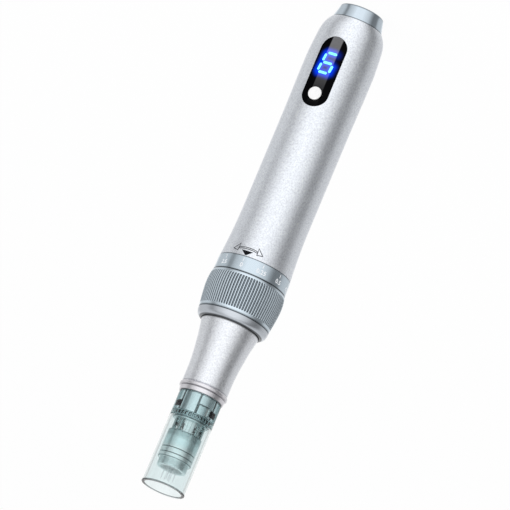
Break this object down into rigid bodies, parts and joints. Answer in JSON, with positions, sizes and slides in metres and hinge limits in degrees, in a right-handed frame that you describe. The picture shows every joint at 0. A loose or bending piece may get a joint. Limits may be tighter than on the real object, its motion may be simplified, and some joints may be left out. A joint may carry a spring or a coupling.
{
  "type": "microneedling pen",
  "caption": "Handheld microneedling pen with a display window and button, a knurled depth ring that turns, a motor-driven needle rod and a pull-off clear needle cartridge.",
  "frame": {"origin": "centre of the flat tail face that the pen stands on", "axes": "+Z along the pen from the tail towards the needle tip; the display window and the button face -Y"},
  "size_m": [0.0268, 0.0268, 0.1777],
  "materials": {
    "polished_silver": "polished, cool grey anodised",
    "blasted_silver": "fine bead-blasted satin",
    "knurled_silver": "straight knurl, satin",
    "bare_aluminium": "turned",
    "steel": "ground",
    "nickel": "nickel plated",
    "bronze": "sintered",
    "magnet_grey": "sintered magnet and copper-wound core",
    "window_black": "smoked acrylic, polished",
    "button_white": "smooth gloss",
    "display_blue": "lit display face",
    "board_green": "solder mask",
    "chip_black": "moulded",
    "cell_sleeve": "shrink sleeve over a steel can",
    "frame_plastic": "moulded nylon",
    "acetal_white": "moulded acetal",
    "seal_black": "nitrile",
    "seal_teal": "silicone, dark teal",
    "clear_teal": "clear moulded, faint teal tint",
    "smoke_teal": "translucent moulded, teal tint"
  },
  "bodies": {
    "housing": {"tail_cap": "polished_silver", "tail_seal": "seal_black", "charging_socket": "nickel", "socket_nut": "nickel", "body_shell": "blasted_silver", "display_window": "window_black", "led_display": "display_blue", "tact_switch": "chip_black", "main_board": "board_green", "board_chips": "chip_black", "board_screws": "steel", "battery_cell": "cell_sleeve", "battery_tabs": "nickel", "battery_cradle": "frame_plastic", "chassis_tube": "bare_aluminium", "ring_clip": "steel", "friction_ring": "seal_black", "nose_cone": "blasted_silver", "nose_bush": "acetal_white", "nose_seal": "seal_black", "nose_collar": "blasted_silver"},
    "depth_ring": {"depth_ring": "knurled_silver", "scale_band": "polished_silver", "ring_lip": "blasted_silver"},
    "drive_carriage": {"drive_carriage": "bare_aluminium", "carriage_pin": "steel", "rod_bush": "bronze", "motor_can": "steel", "motor_end_cap": "frame_plastic", "motor_magnet": "magnet_grey", "motor_terminals": "nickel", "rod_spring": "steel"},
    "motor_rotor": {"motor_shaft": "steel", "motor_rotor": "magnet_grey", "swash_cam": "acetal_white"},
    "drive_rod": {"drive_rod": "steel", "cam_follower": "bare_aluminium"},
    "cartridge": {"cartridge_tube": "clear_teal", "cartridge_base": "smoke_teal", "latch_blocks": "seal_black", "spigot_ring": "seal_black", "cartridge_seal": "seal_teal", "cartridge_core": "smoke_teal", "cartridge_spring": "steel"},
    "needle_piston": {"needle_piston": "smoke_teal", "needle_block": "smoke_teal", "needles": "steel"},
    "power_button": {"power_button": "button_white"}
  },
  "joints": [
    {"name": "depth_ring_turn", "type": "hinge", "parent": "housing", "child": "depth_ring", "pos_m": [0, 0, 0.105], "axis": [0, 0, 1], "range_deg": [0, 327.27]},
    {"name": "carriage_travel", "type": "slide", "parent": "housing", "child": "drive_carriage", "axis": [0, 0, 1], "range_m": [0, 0.0025], "deforming": ["cartridge_spring"]},
    {"name": "motor_spin", "type": "hinge", "parent": "drive_carriage", "child": "motor_rotor", "pos_m": [0, 0, 0.08], "axis": [0, 0, 1], "continuous": true},
    {"name": "drive_rod_stroke", "type": "slide", "parent": "drive_carriage", "child": "drive_rod", "axis": [0, 0, 1], "range_m": [0, 0.003], "stiffness_N_per_m": 300, "springref_m": -0.001, "deforming": ["rod_spring", "cartridge_spring"]},
    {"name": "cartridge_pull", "type": "slide", "parent": "housing", "child": "cartridge", "axis": [0, 0, 1], "range_m": [0, 0.03]},
    {"name": "piston_with_cartridge", "type": "slide", "parent": "drive_rod", "child": "needle_piston", "axis": [0, 0, 1], "range_m": [0, 0.03]},
    {"name": "power_button_press", "type": "slide", "parent": "housing", "child": "power_button", "axis": [0, 1, 0], "range_m": [0, 0.0004], "stiffness_N_per_m": 1500, "springref_m": -0.0002}
  ],
  "couplings": [
    {"joint": "depth_ring_turn", "follows": "carriage_travel", "rad_per_m": 2284.8},
    {"joint": "piston_with_cartridge", "follows": "cartridge_pull", "ratio": 1}
  ]
}
